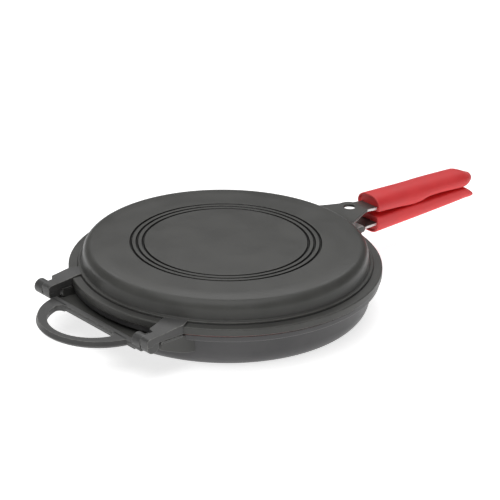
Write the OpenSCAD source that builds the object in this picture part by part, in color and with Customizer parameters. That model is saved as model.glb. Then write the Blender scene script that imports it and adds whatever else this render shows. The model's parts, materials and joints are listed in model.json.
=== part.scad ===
// Double sided flip pan: two shallow cast pans that close face to face.
// They turn on a slide-off hinge at -X and carry sleeved handles at +X.
// The lower pan rests on the table at z = 0, centred on the Z axis.

/* [Closed pan] */
// Height of the closed pan
closed_h = 61.7; // [60:0.1:64]
// Height of the seam between the pans
seam_z = 34.8; // [34:0.1:35.6]
// Gap between the two rims, filled by the gasket lip
seam_gap = 1; // [0.8:0.1:1.2]
// Thickness of the cast walls
wall_t = 3.3; // [3:0.1:3.6]
// Thickness of the pan floors
floor_t = 4; // [3.5:0.1:4.5]

/* [Lower pan] */
// Radius of the flat resting face
base_flat_r = 108.8; // [107:0.1:110]
// Radius of the rounded corner between floor and wall
base_corner_r = 19.4; // [18:0.1:20]
// Outward draft of the wall above the corner
lower_draft = 1.4; // [1:0.1:2]
// Radius of the lip
lip_r = 137.2; // [136.5:0.1:137.6]
// Height of the lip edge
lip_h = 5.2; // [4.5:0.1:6]

/* [Upper pan] */
// Radius of the rim flange
flange_r = 139; // [138.6:0.1:139.4]
// Thickness of the rim flange
flange_h = 6.6; // [6:0.1:7]
// Radius of the flat crown
crown_flat_r = 113.3; // [112:0.1:114]
// Radius of the rounded shoulder
crown_corner_r = 12.3; // [11.5:0.1:13]
// Radius of the bead that stands on the flange
bead_r = 130.6; // [130:0.1:131]
// Height of the bead above the flange
bead_h = 2.4; // [1.8:0.1:3]

/* [Base rings] */
// Outer radius of the largest ring groove
ring_r = 85.2; // [80:0.1:90]
// Step from one ring groove to the next
ring_step = 5.35; // [5:0.05:6]
// Number of ring grooves
ring_count = 3; // [1:1:3]
// Width of a ring groove
ring_w = 2.8; // [2:0.1:3.2]
// Depth of a ring groove
ring_d = 0.9; // [0.6:0.1:1.2]

/* [Gasket] */
// Inner radius of the gasket groove
gasket_in_r = 131.5; // [131:0.1:132]
// Outer radius of the gasket groove
gasket_out_r = 136.5; // [136:0.1:136.8]
// Depth of the gasket groove
gasket_d = 3; // [2.5:0.1:3.2]
// Radius of the gasket lip that shows in the seam
gasket_lip_r = 137.3; // [137.2:0.1:138.5]
// Clearance between the gasket and the lower lip
gasket_clear = 0.2; // [0.1:0.05:0.3]

/* [Hinge] */
// Distance of the hinge axis behind the pan's centre
hinge_x = 146; // [145:0.1:147]
// Drop of the hinge axis below the seam
hinge_drop = 1.4; // [1:0.1:1.8]
// Radius of the hinge knuckles
knuckle_r = 6.5; // [6:0.1:7]
// Distance between the two hinges
hinge_pitch = 136.5; // [135:0.5:138]
// Sideways place of the middle between the hinges
hinge_y = -1; // [-2:0.5:0]
// Width of an arm knuckle
arm_knuckle_w = 10; // [9:0.1:11]
// Width of a pan knuckle
pan_knuckle_w = 11.4; // [10:0.1:12]
// Side gap between the two knuckles of a hinge
knuckle_gap = 0.6; // [0.5:0.1:0.8]
// Radius of a hinge pin
pin_r = 3; // [2.5:0.1:3.5]
// Radial running clearance of the arm on its pin
pin_clear = 0.05; // [0.03:0.01:0.08]
// Depth of the arm's blind pin bore
arm_bore_d = 8; // [7:0.5:8.5]
// Depth of the pin's seat in the pan knuckle
pin_seat_d = 9; // [8:0.5:10]

/* [Helper loop] */
// Distance of the crossbar's outer face behind the pan's centre
bar_x = 151.6; // [151:0.1:152]
// Drop of the crossbar and loop top below the seam
bar_drop = 4.2; // [4:0.1:5]
// Height of the crossbar
bar_h = 3.8; // [3.5:0.1:4.5]
// Radius of the loop's outer arc
loop_out_r = 54.4; // [53:0.1:56]
// Distance of the outer arc's centre behind the pan's centre
loop_out_x = 138.3; // [137:0.1:139]
// Sideways place of the outer arc's centre
loop_out_y = 2.5; // [0:0.5:2.5]
// Radius of the loop's inner arc
loop_in_r = 39.6; // [38:0.1:41]
// Distance of the inner arc's centre behind the pan's centre
loop_in_x = 146; // [145:0.1:147]
// Sideways place of the inner arc's centre
loop_in_y = 1.5; // [0:0.5:3]
// Thickness of the loop
loop_h = 6; // [5:0.1:7]
// Radius of the loop opening's corners
loop_corner_r = 5; // [4:0.5:6]

/* [Handles] */
// Height of the upper lug's top face above the seam
upper_lug_z = 17.5; // [17:0.1:18.5]
// Height of the lower tang's top face above the seam
lower_lug_z = 0.6; // [0.4:0.1:1]
// Thickness of the lugs
lug_t = 2.8; // [2.5:0.1:3]
// Half width of the handle tangs where they enter the sleeves
tang_w = 10.6; // [10:0.1:11]
// Thickness of the handle cores inside the sleeves
core_t = 5; // [4.8:0.1:5.4]
// End of the handle cores
core_end_x = 289; // [285:1:290]
// Centre of the hanging hole along the handle
hole_x = 153.5; // [152:0.5:155]
// Centre of the hanging hole across the handle
hole_y = 4.5; // [0:0.5:5]
// Radius of the hanging hole
hole_r = 5.6; // [5:0.1:6]

/* [Sleeves] */
// Front face of the sleeves
sleeve_x = 173; // [172:0.5:175]
// Length of the sleeves
sleeve_l = 131; // [128:0.5:134]
// Length of the upper sleeve's rounded end
upper_nose = 18; // [15:0.5:20]
// Length of the lower sleeve's sloping end
lower_nose = 14; // [12:0.5:16]
// Half width of the upper sleeve at its front
upper_sleeve_w = 14.8; // [14.4:0.1:15.2]
// Half width of the lower sleeve at its front
lower_sleeve_w = 14.3; // [14:0.1:14.8]
// Narrowing of a sleeve's half width towards its end
sleeve_taper = 1.2; // [1:0.1:2]
// Width of the raised edge round a sleeve's front face
mouth_rim = 1.7; // [1.2:0.1:2]
// Depth of the recess in a sleeve's front face
mouth_d = 1.4; // [1:0.1:2]

/* [Magnets] */
// Radius of a closing magnet
magnet_r = 6; // [5:0.1:7]
// Thickness of a closing magnet
magnet_h = 3.6; // [3:0.1:4]
// Place of the closing magnets along the handle
magnet_x = 268; // [262:1:272]

/* [Hidden] */
$fn = 128;

eps = 0.01;
coat = [0.31, 0.31, 0.29];
silicone = [0.87, 0.24, 0.25];
steel = [0.72, 0.72, 0.74];
magnet_grey = [0.6, 0.6, 0.62];

// Heights worked out from the seam
lip_top = seam_z - seam_gap / 2 + 0.1;
flange_bottom = lip_top + seam_gap;
flange_top = flange_bottom + flange_h;
bead_top = flange_top + bead_h;
lip_bottom = lip_top - lip_h;
hinge_z = seam_z - hinge_drop;
bar_top = seam_z - bar_drop;

// Outer and inner wall radii
lower_wall_r = base_flat_r + base_corner_r;
lower_wall_top_r = lower_wall_r + lower_draft;
lower_in_corner = base_corner_r - floor_t;
lower_in_r = lower_wall_r - wall_t;
lower_mouth_r = lower_wall_top_r - wall_t;
crown_wall_r = crown_flat_r + crown_corner_r;
upper_in_corner = crown_corner_r - floor_t;
upper_in_r = crown_wall_r - wall_t;
upper_mouth_r = lower_mouth_r;
edge_r = 1.1;

// Split faces of the handle cores, where the magnets sit
upper_split_z = seam_z + upper_lug_z - 6;
lower_split_z = seam_z + lower_lug_z + 3.2;

// One hinge, measured from its -Y end
hinge_w = arm_knuckle_w + knuckle_gap + pan_knuckle_w;
hinge_ends = [for (s = [-1, 1]) hinge_y + s * hinge_pitch / 2 - hinge_w / 2];
eye_r = 12;
arm_w = 16.4;
arm_step_x = 138;
shelf_front_x = 137.5;
shelf_bottom = seam_z - 7.5;
gusset_bottom = seam_z - 20;
pad_top = flange_bottom - 0.4;

function arc(cx, cy, r, from, to, n = 8) =
    [for (i = [0 : n]) let (a = from + (to - from) * i / n) [cx + r * cos(a), cy + r * sin(a)]];

// Straight-line value through a list of [place, value] stations
function along(t, x) = lookup(x, t);

function reverse(list) = [for (i = [len(list) - 1 : -1 : 0]) list[i]];

// Points of the ring grooves in a face at height z, cut towards up
function ring_points(z, up) =
    [for (i = [ring_count - 1 : -1 : 0])
        let (r = ring_r - i * ring_step, s = ring_w * 0.38)
        for (p = [[r - ring_w, z], [r - ring_w + s, z + up * ring_d], [r - s, z + up * ring_d], [r, z]])
            p];

module solid_of_revolution(points) {
    rotate_extrude($fn = 180)
        polygon(points);
}

// Extrude an outline of [x, z] points across Y, between two places
module side_extrude(y_from, y_to) {
    translate([0, y_to, 0])
        rotate([90, 0, 0])
            linear_extrude(y_to - y_from)
                children();
}

// ---- Lower pan ----

module lower_outside() {
    solid_of_revolution(concat(
        [[0, 0]],
        ring_points(0, 1),
        arc(base_flat_r, base_corner_r, base_corner_r, -90, 0, 12),
        arc(lower_wall_top_r + 2, lip_bottom - 2, 2, 180, 90, 4),
        arc(lip_r - edge_r, lip_bottom + edge_r, edge_r, -90, 0, 4),
        arc(lip_r - edge_r / 2, lip_top - edge_r / 2, edge_r / 2, 0, 90, 3),
        [[0, lip_top]]
    ));
}

module lower_inside() {
    solid_of_revolution(concat(
        [[0, floor_t]],
        arc(lower_in_r - lower_in_corner, base_corner_r, lower_in_corner, -90, 0, 12),
        arc(lower_mouth_r + edge_r, lip_top - edge_r, edge_r, 180, 90, 4),
        [[lower_mouth_r + edge_r, closed_h], [0, closed_h]]
    ));
}

// Bracket under each arm: flat on top, its underside sweeping down to the wall
module hinge_bracket(y) {
    hollow = 3;
    difference() {
        side_extrude(y, y + hinge_w)
            polygon([
                [-shelf_front_x, pad_top - 0.6], [-shelf_front_x + 0.6, pad_top], [-90, pad_top],
                [-90, gusset_bottom], [-106, gusset_bottom + 1], [-116, gusset_bottom + 3.6],
                [-126, gusset_bottom + 7.6], [-shelf_front_x, shelf_bottom]
            ]);
        // Room for the closed flange
        translate([0, 0, lip_top])
            cylinder(r = flange_r + 0.6, h = 10);
        // Weight-saving pocket in the underside
        side_extrude(y + hollow, y + hinge_w - hollow)
            polygon([
                [-shelf_front_x + hollow, shelf_bottom - 10], [-shelf_front_x + hollow, shelf_bottom + 3],
                [-104, shelf_bottom - 2], [-104, shelf_bottom - 20]
            ]);
    }
}

// Floor of the pocket between the brackets
module pocket_floor() {
    plate_t = 3;
    y_from = hinge_ends[0] + hinge_w - 1;
    y_to = hinge_ends[1] + 1;
    intersection() {
        translate([-loop_in_x - 4, y_from, bar_top - 2 * plate_t])
            cube([60, y_to - y_from, plate_t]);
        cylinder(r = hinge_x + 1, h = seam_z);
    }
}

module crossbar() {
    y_from = hinge_ends[0] + arm_knuckle_w + knuckle_gap;
    y_to = hinge_ends[1] - knuckle_gap - 0.4;
    difference() {
        translate([-bar_x, y_from, bar_top - bar_h])
            cube([40, y_to - y_from, bar_h]);
        translate([0, 0, bar_top - bar_h - eps])
            cylinder(r = hinge_x - 1, h = bar_h + 2 * eps);
    }
}

// D-shaped finger opening: an arc, closed by the crossbar with rounded corners
function loop_opening() =
    let (
        corner_x = bar_x + loop_corner_r,
        reach = loop_in_r - loop_corner_r,
        corner_y = sqrt(reach * reach - pow(corner_x - loop_in_x, 2)),
        turn = atan2(corner_y, loop_in_x - corner_x)
    )
    concat(
        arc(-loop_in_x, loop_in_y, loop_in_r, turn, 360 - turn, 32),
        arc(-corner_x, loop_in_y - corner_y, loop_corner_r, 360 - turn, 360, 8),
        arc(-corner_x, loop_in_y + corner_y, loop_corner_r, 0, turn, 8)
    );

module helper_loop() {
    round_r = 2;
    loop_bottom = bar_top - loop_h;
    difference() {
        translate([-loop_out_x, loop_out_y, loop_bottom])
            solid_of_revolution(concat(
                [[0, 0]],
                arc(loop_out_r - round_r, round_r, round_r, -90, 0, 5),
                arc(loop_out_r - round_r, loop_h - round_r, round_r, 0, 90, 5),
                [[0, loop_h]]
            ));
        translate([-bar_x + 1, -100, loop_bottom - 1])
            cube([200, 200, loop_h + 2]);
        translate([0, 0, loop_bottom - 1])
            linear_extrude(loop_h + 2)
                polygon(loop_opening());
    }
}

module pan_knuckles() {
    for (y = hinge_ends) {
        y0 = y + arm_knuckle_w + knuckle_gap;
        translate([-hinge_x, y0 + pan_knuckle_w, hinge_z])
            rotate([90, 0, 0])
                cylinder(r = knuckle_r, h = pan_knuckle_w);
        translate([-hinge_x, y0, hinge_z - knuckle_r])
            cube([hinge_x - shelf_front_x + 1, pan_knuckle_w, knuckle_r + 0.6]);
    }
}

module pin_seats() {
    for (y = hinge_ends)
        translate([-hinge_x, y + arm_knuckle_w + knuckle_gap + pin_seat_d, hinge_z])
            rotate([90, 0, 0])
                cylinder(r = pin_r, h = pin_seat_d + 1, $fn = 64);
}

// Plan of the lower lug: flared at the rim, then a straight tang
function lower_lug_plan() =
    let (
        half = [[118, 25], [127, 20.5], [135, 17.6], [146, 14.8], [155.5, 14.2], [157.5, 12.4], [162, tang_w]]
    )
    concat(
        [for (p = half) [p[0], -p[1]]],
        [[core_end_x - 60, -tang_w], [core_end_x - 60, tang_w]],
        reverse(half)
    );

// Plan of the upper lug: straight on the near side, an eye round the hole on the far side
function upper_lug_plan() = concat(
    [[118, -30], [132, -24.6], [140, -20.6], [150, -15.8], [158, -12.3], [164, -tang_w]],
    [[core_end_x - 60, -tang_w], [core_end_x - 60, tang_w]],
    arc(hole_x, hole_y, eye_r, 31, 102, 10),
    [[132, 24.6], [118, 31]]
);

// Rounded core of a handle, seen from above
module core_plan() {
    end_w = tang_w - 2;
    polygon([
        [sleeve_x - 8, -tang_w], [core_end_x - end_w, -end_w],
        [core_end_x - end_w, end_w], [sleeve_x - 8, tang_w]
    ]);
    translate([core_end_x - end_w, 0])
        circle(r = end_w);
}

module upper_tang() {
    z = seam_z + upper_lug_z;
    intersection() {
        side_extrude(-40, 40)
            polygon([
                [110, z + 2.6], [126, z + 0.9], [134, z + 0.2], [140, z], [160, z], [172, z - 1.2],
                [182, z - 1.9], [186, z + 0.6], [240, z - 0.5], [core_end_x, z - 2.6],
                [core_end_x, upper_split_z], [244, upper_split_z], [186, z + 0.4 - core_t],
                [182, z - 1.9 - lug_t], [172, z - 1.2 - lug_t], [160, z - lug_t], [110, z - lug_t]
            ]);
        linear_extrude(80) {
            polygon(upper_lug_plan());
            core_plan();
        }
    }
    // Skirt that ties the lug to the flange
    intersection() {
        translate([0, 0, flange_top - 1])
            linear_extrude(z - flange_top - 1)
                polygon(upper_lug_plan());
        cylinder(r = flange_r, h = closed_h);
    }
}

module lower_tang() {
    z = seam_z + lower_lug_z;
    difference() {
        intersection() {
            side_extrude(-40, 40)
                polygon([
                    [120, z + 3.4], [155, z + 3.4], [157.5, z], [182, z], [186, z + 0.6], [236, z + 0.4],
                    [244, lower_split_z], [core_end_x, lower_split_z], [core_end_x, z + 3 - core_t],
                    [244, z + 3 - core_t], [236, z + 0.4 - core_t], [186, z + 0.6 - core_t],
                    [182, z - lug_t], [154, z - lug_t], [148, z - lug_t - 2.4], [138, z - lug_t - 7],
                    [120, z - lug_t - 11]
                ]);
            linear_extrude(80) {
                polygon(lower_lug_plan());
                core_plan();
            }
        }
        // Step that clears the closed flange
        translate([0, 0, lip_top])
            cylinder(r = flange_r + 0.8, h = 10);
    }
}

// Disc under a split face: up is true where it goes up into the core
module magnet_seat(z, up) {
    translate([magnet_x, 0, up ? z : z - magnet_h])
        cylinder(r = magnet_r, h = magnet_h, $fn = 64);
}

module lower_pan() {
    color(coat)
    difference() {
        union() {
            lower_outside();
            difference() {
                union() {
                    for (y = hinge_ends)
                        hinge_bracket(y);
                    pocket_floor();
                    crossbar();
                    helper_loop();
                    pan_knuckles();
                    lower_tang();
                }
                cylinder(r = lower_mouth_r + 1.5, h = closed_h);
            }
        }
        lower_inside();
        pin_seats();
        magnet_seat(lower_split_z, false);
    }
}

// ---- Upper pan ----

module upper_outside() {
    solid_of_revolution(concat(
        [[0, flange_bottom]],
        arc(flange_r - edge_r / 2, flange_bottom + edge_r / 2, edge_r / 2, -90, 0, 3),
        arc(flange_r - edge_r, flange_top - edge_r, edge_r, 0, 90, 4),
        arc(bead_r + 0.7, flange_top + 0.7, 0.7, 270, 180, 3),
        arc(bead_r - 0.8, bead_top - 0.8, 0.8, 0, 90, 4),
        [[bead_r - 1.6, bead_top]],
        arc(crown_wall_r + 1.4, bead_top + 1.8, 1.8, -70, -150, 3),
        arc(crown_flat_r, closed_h - crown_corner_r, crown_corner_r, 0, 90, 12),
        reverse(ring_points(closed_h, -1)),
        [[0, closed_h]]
    ));
}

module upper_inside() {
    solid_of_revolution(concat(
        [[0, 0], [upper_mouth_r + edge_r, 0]],
        arc(upper_mouth_r + edge_r, flange_bottom + edge_r, edge_r, 270, 180, 4),
        arc(upper_in_r - upper_in_corner, closed_h - crown_corner_r, upper_in_corner, 0, 90, 10),
        [[0, closed_h - floor_t]]
    ));
}

module gasket_ring(r_in, r_out, z_from, z_to) {
    solid_of_revolution([[r_in, z_from], [r_out, z_from], [r_out, z_to], [r_in, z_to]]);
}

// Side view of an arm: level with the bead at the wall, rounded over at the knuckle
module arm_side() {
    nose_r = 3.3;
    arm_top = seam_z + 6.3;
    polygon(concat(
        [[-90, flange_bottom], [-90, bead_top + 0.4], [-101, bead_top + 0.2], [-118, bead_top - 0.4],
         [-135, arm_top + 1]],
        arc(-hinge_x - knuckle_r + nose_r, arm_top - nose_r, nose_r, 90, 180, 6),
        [[-hinge_x - knuckle_r, hinge_z], [-hinge_x, hinge_z], [-hinge_x, flange_bottom]]
    ));
}

// Plans of the arms, measured from each hinge's -Y end: above the flange both lean to the centre
arm_front = [[-arm_step_x, arm_w], [-arm_step_x, arm_knuckle_w], [-hinge_x - 8, arm_knuckle_w], [-hinge_x - 8, 0]];
near_arm_plan = concat(arm_front, [
    [-114, 0], [-101.3, 6.6], [-90, 12.5], [-90, 32], [-104, 27], [-113.2, 23.7], [-122, 20.5], [-130, 18.2]
]);
far_arm_plan = concat(arm_front, [
    [-120.5, 0], [-112, -3], [-90, -11.6], [-90, 1.5], [-106, 10], [-118.5, arm_w]
]);

module arms() {
    plans = [near_arm_plan, far_arm_plan];
    for (i = [0, 1])
        translate([0, hinge_ends[i], 0]) {
            intersection() {
                side_extrude(-20, 40)
                    arm_side();
                linear_extrude(80)
                    polygon(plans[i]);
            }
            translate([-hinge_x, arm_knuckle_w, hinge_z])
                rotate([90, 0, 0])
                    cylinder(r = knuckle_r, h = arm_knuckle_w);
        }
}

module arm_bores() {
    for (y = hinge_ends)
        translate([-hinge_x, y + arm_knuckle_w + eps, hinge_z])
            rotate([90, 0, 0])
                cylinder(r = pin_r + pin_clear, h = arm_bore_d + eps, $fn = 64);
}

module upper_pan() {
    color(coat)
    difference() {
        union() {
            upper_outside();
            arms();
            upper_tang();
        }
        upper_inside();
        gasket_ring(gasket_in_r, gasket_out_r, flange_bottom - eps, flange_bottom + gasket_d);
        arm_bores();
        translate([hole_x, hole_y, seam_z])
            cylinder(r = hole_r, h = 30, $fn = 96);
        magnet_seat(upper_split_z, true);
    }
}

// ---- Pins and gasket ----

module hinge_pin(y) {
    tip = 0.6;
    reach = arm_bore_d - 0.6;
    color(steel)
    translate([-hinge_x, y + arm_knuckle_w + knuckle_gap + pin_seat_d, hinge_z])
        rotate([90, 0, 0])
            rotate_extrude($fn = 64)
                polygon([
                    [0, 0], [pin_r, 0], [pin_r, pin_seat_d + knuckle_gap + reach - tip],
                    [pin_r - tip, pin_seat_d + knuckle_gap + reach], [0, pin_seat_d + knuckle_gap + reach]
                ]);
}

module near_hinge_pin() {
    hinge_pin(hinge_ends[0]);
}

module far_hinge_pin() {
    hinge_pin(hinge_ends[1]);
}

module rim_gasket() {
    color(silicone)
    solid_of_revolution([
        [gasket_in_r, lip_top + gasket_clear], [gasket_lip_r, lip_top + gasket_clear],
        [gasket_lip_r, flange_bottom], [gasket_out_r, flange_bottom],
        [gasket_out_r, flange_bottom + gasket_d], [gasket_in_r, flange_bottom + gasket_d]
    ]);
}

// ---- Sleeves ----

// The flat half of a sleeve section has sharp corners and leans in towards the split
flat_n = 10;
flat_lean = 0.09;

// Section of a sleeve: side +1 is round above and flat below the middle, side -1 the other way up
function section_ring(w, bottom, middle, top, round_n, side, points = 44) =
    [for (i = [0 : points - 1])
        let (
            a = 360 * i / points,
            above = sin(a) > 0 ? 1 : -1,
            n = above == side ? round_n : flat_n,
            reach = above > 0 ? top - middle : middle - bottom,
            c = pow(abs(cos(a)), 2 / n),
            s = pow(abs(sin(a)), 2 / n),
            lean = above == side ? 1 : 1 - flat_lean * s
        )
        [sign(cos(a)) * w * c * lean, middle + above * reach * s]];

// How far x is into the last stretch of a sleeve, from 0 to 1
function nose(x, length) = max(0, x - sleeve_x - sleeve_l + length) / length;

// Share of the full width that is left there: n = 2 is round in plan, a larger n squarer
function nose_width(u, n) = pow(max(0.02, 1 - pow(u, n)), 1 / n);

// Half width of a sleeve that tapers slowly towards its end
function sleeve_width(w, x) = w - sleeve_taper * (x - sleeve_x) / sleeve_l;

// Outlines of the sleeves along the handle, as heights above the seam
upper_top = [[sleeve_x, 26.4], [230, 24.1], [286, 21.6], [304, 20.6]];
upper_bottom = [
    [sleeve_x, 12], [200, 9.9], [222, 7.9], [228, 8], [238, 10], [244, 10.4], [286, 7.6], [304, 6.8]
];
lower_top = [[sleeve_x, 7.1], [225, 6.5], [290, 5.6]];
lower_bottom = [[sleeve_x, -10.6], [230, -9.2], [290, -6.9], [304, -5.8]];

// The upper sleeve's end is bullet-shaped, and its underside sweeps up
function upper_section(x, inset = 0) =
    let (
        u = nose(x, upper_nose),
        w = sleeve_width(upper_sleeve_w, x) * nose_width(u, 2),
        bottom = seam_z + along(upper_bottom, x) + 6 * pow(u, 1.5),
        span = (seam_z + along(upper_top, x) - bottom) * (1 - 0.72 * pow(u, 1.8))
    )
    section_ring(w - inset, bottom + inset, bottom + span * 0.28, bottom + span - inset, 2.3, 1);

// The lower sleeve's end is squarer in plan, and its top slopes down to a thin edge
function lower_section(x, inset = 0) =
    let (
        u = nose(x, lower_nose),
        w = sleeve_width(lower_sleeve_w, x) * nose_width(u, 3.2),
        bottom = seam_z + along(lower_bottom, x),
        span = (seam_z + along(lower_top, x) - bottom) * (1 - 0.86 * pow(u, 1.25))
    )
    section_ring(w - inset, bottom + inset, bottom + span * 0.66, bottom + span - inset, 2.8, -1);

// Skin through a list of equal rings, each [x, ring of [y, z]]
module loft(stations) {
    n = len(stations[0][1]);
    m = len(stations);
    points = [for (s = stations) for (p = s[1]) [s[0], p[0], p[1]]];
    walls = [for (i = [0 : m - 2]) for (j = [0 : n - 1])
        let (a = i * n + j, b = i * n + (j + 1) % n)
        for (f = [[a, a + n, b + n], [a, b + n, b]])
            f];
    front = [for (j = [0 : n - 1]) j];
    back = [for (j = [n - 1 : -1 : 0]) (m - 1) * n + j];
    polyhedron(points, concat(walls, [front, back]), convexity = 4);
}

// Places of the sleeve sections along the handle, closer where the shape turns
function sleeve_stations(length) =
    let (nose_x = sleeve_x + sleeve_l - length)
    concat(
        [for (x = [sleeve_x : 6 : 215]) x],
        [for (x = [219 : 3 : 249]) x],
        [for (x = [255 : 7 : nose_x]) x],
        [for (i = [1 : 9]) nose_x + length * sin(10 * i)]
    );

module upper_sleeve() {
    color(silicone)
    difference() {
        loft([for (x = sleeve_stations(upper_nose)) [x, upper_section(x)]]);
        loft([for (x = [sleeve_x - 1, sleeve_x + mouth_d]) [x, upper_section(sleeve_x, mouth_rim)]]);
        upper_tang();
    }
}

module lower_sleeve() {
    color(silicone)
    difference() {
        loft([for (x = sleeve_stations(lower_nose)) [x, lower_section(x)]]);
        loft([for (x = [sleeve_x - 1, sleeve_x + mouth_d]) [x, lower_section(sleeve_x, mouth_rim)]]);
        lower_tang();
    }
}

module lower_magnet() {
    color(magnet_grey)
    magnet_seat(lower_split_z, false);
}

module upper_magnet() {
    color(magnet_grey)
    magnet_seat(upper_split_z, true);
}

lower_pan();
upper_pan();
near_hinge_pin();
far_hinge_pin();
rim_gasket();
lower_sleeve();
upper_sleeve();
lower_magnet();
upper_magnet();
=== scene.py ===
# %% [markdown]
# A flip pan is two shallow cast pans that close rim to rim. It turns food over without lifting it
# out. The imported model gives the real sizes, the bodies that move and the hinge. This script
# dresses it: every casting, seal and grip becomes a smooth surface worked out with numpy, in the
# same frame. Lengths are in millimetres, as on a workshop drawing, until a mesh is made.

# %% Load the frame
import json
import math
import bmesh
import bpy
import numpy as np
from mathutils import Matrix, Vector


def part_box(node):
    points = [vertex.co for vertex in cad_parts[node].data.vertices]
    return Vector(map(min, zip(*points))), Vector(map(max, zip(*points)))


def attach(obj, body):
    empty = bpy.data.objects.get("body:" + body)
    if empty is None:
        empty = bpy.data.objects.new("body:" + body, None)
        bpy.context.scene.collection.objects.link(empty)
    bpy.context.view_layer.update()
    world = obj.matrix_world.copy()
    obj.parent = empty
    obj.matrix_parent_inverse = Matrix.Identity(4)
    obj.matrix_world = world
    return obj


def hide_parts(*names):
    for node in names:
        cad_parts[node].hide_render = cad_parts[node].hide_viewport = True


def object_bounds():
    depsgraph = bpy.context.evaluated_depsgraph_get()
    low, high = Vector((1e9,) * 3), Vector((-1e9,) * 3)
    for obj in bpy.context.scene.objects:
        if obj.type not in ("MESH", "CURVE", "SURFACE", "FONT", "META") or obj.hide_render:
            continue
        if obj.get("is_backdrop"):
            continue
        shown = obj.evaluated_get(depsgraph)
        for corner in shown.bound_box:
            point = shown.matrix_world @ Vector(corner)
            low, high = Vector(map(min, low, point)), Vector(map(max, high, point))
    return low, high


MM = 0.001
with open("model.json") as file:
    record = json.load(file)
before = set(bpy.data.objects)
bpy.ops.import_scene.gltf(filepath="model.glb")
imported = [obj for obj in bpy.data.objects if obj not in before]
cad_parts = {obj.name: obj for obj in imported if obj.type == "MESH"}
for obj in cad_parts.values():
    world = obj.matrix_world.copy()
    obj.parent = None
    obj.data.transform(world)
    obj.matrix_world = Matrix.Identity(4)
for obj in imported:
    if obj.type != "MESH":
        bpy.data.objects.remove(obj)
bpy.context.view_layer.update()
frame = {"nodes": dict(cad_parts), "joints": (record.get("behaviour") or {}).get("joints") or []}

UPPER, LOWER = "upper_half", "lower_half"

# %% [markdown]
# ## Sizes
# What the frame already knows is read from it: the height of the closed pan, the rim, the hinge
# axis and where the sleeves start and end. The rest are the casting's own dimensions.


# %% Driving sizes
def node_box(name):
    """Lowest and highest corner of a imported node, in millimetres."""
    low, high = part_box(name)
    return np.array(low) / MM, np.array(high) / MM


closed_h = node_box("upper_pan")[1][2]
flange_r = node_box("upper_pan")[1][1]
sleeve_x0 = node_box("upper_sleeve")[0][0]
sleeve_x1 = node_box("upper_sleeve")[1][0]
hinge_x, _, hinge_z = np.array(frame["joints"][0]["pos_m"]) / MM
pin_r = (node_box("near_hinge_pin")[1][2] - node_box("near_hinge_pin")[0][2]) / 2

hinge_drop, lip_drop, seam_gap = 1.4, 0.4, 1.0
flange_h, bead_h = 6.6, 2.4
seam_z = hinge_z + hinge_drop
lip_top = seam_z - lip_drop
flange_bottom = lip_top + seam_gap
flange_top = flange_bottom + flange_h
bead_top = flange_top + bead_h
floor_t, knuckle_r = 4.0, 6.5
# Outside of the upper pan's wall at the arms, and of the lower pan's wall at the brackets
crown_wall_r, bowl_wall_r = 123.6, 126.2
print("closed height", round(closed_h, 1), "flange radius", round(flange_r, 1))
print("hinge axis at x", round(hinge_x, 1), "z", round(hinge_z, 1))

# %% [markdown]
# ## Two ways to draw a line
# A casting has no truly sharp edge. Its outlines are straight runs joined by arcs, so one helper
# turns a list of corners, each with a radius, into a smooth line. A second helper draws a gentle
# curve through a few stations, which gives long shapes such as a handle their flow.


# %% Lines with rounded corners
def rounded_path(corners, radii, steps=6, closed=False, support=0.35):
    """Corners (..., m, 2) become a line with an exact arc at each corner.

    An arc is the rational curve ((1-u)^2 A + 2u(1-u)w C + u^2 B) / ((1-u)^2 + 2u(1-u)w + u^2),
    with C the corner, A and B the tangent points, and w the sine of half the corner's angle. A
    support point stands just before and after each arc, so that flats stay flat when the surface
    is shaded smooth. A corner gives steps + 3 points, and an arc takes at most 0.48 of a run.
    """
    c = np.asarray(corners, float)
    r = np.broadcast_to(np.asarray(radii, float), c.shape[:-1])[..., None]
    before, after = np.roll(c, 1, axis=-2) - c, np.roll(c, -1, axis=-2) - c
    len_a = np.linalg.norm(before, axis=-1, keepdims=True)
    len_b = np.linalg.norm(after, axis=-1, keepdims=True)
    a, b = before / np.maximum(len_a, 1e-9), after / np.maximum(len_b, 1e-9)
    half = np.arccos(np.clip((a * b).sum(-1, keepdims=True), -1, 1)) / 2
    room = 0.48 * np.minimum(len_a, len_b)
    t = np.minimum(r / np.maximum(np.tan(half), 1e-6), room)
    s = np.minimum(support, 0.5 * (np.minimum(len_a, len_b) / 2 - t))
    u = np.linspace(0, 1, steps + 1)[:, None]
    w = np.sin(half)[..., None, :]
    A, B, C = (c + a * t)[..., None, :], (c + b * t)[..., None, :], c[..., None, :]
    low = (1 - u) ** 2 + 2 * u * (1 - u) * w + u ** 2
    arc = ((1 - u) ** 2 * A + 2 * u * (1 - u) * w * C + u ** 2 * B) / low
    first, last = (c + a * (t + s))[..., None, :], (c + b * (t + s))[..., None, :]
    pts = np.concatenate([first, arc, last], axis=-2)
    pts = pts.reshape(c.shape[:-2] + (-1, 2))
    if not closed:
        n = steps + 3
        pts = np.concatenate([c[..., :1, :], pts[..., n:-n, :], c[..., -1:, :]], axis=-2)
    return pts


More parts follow.
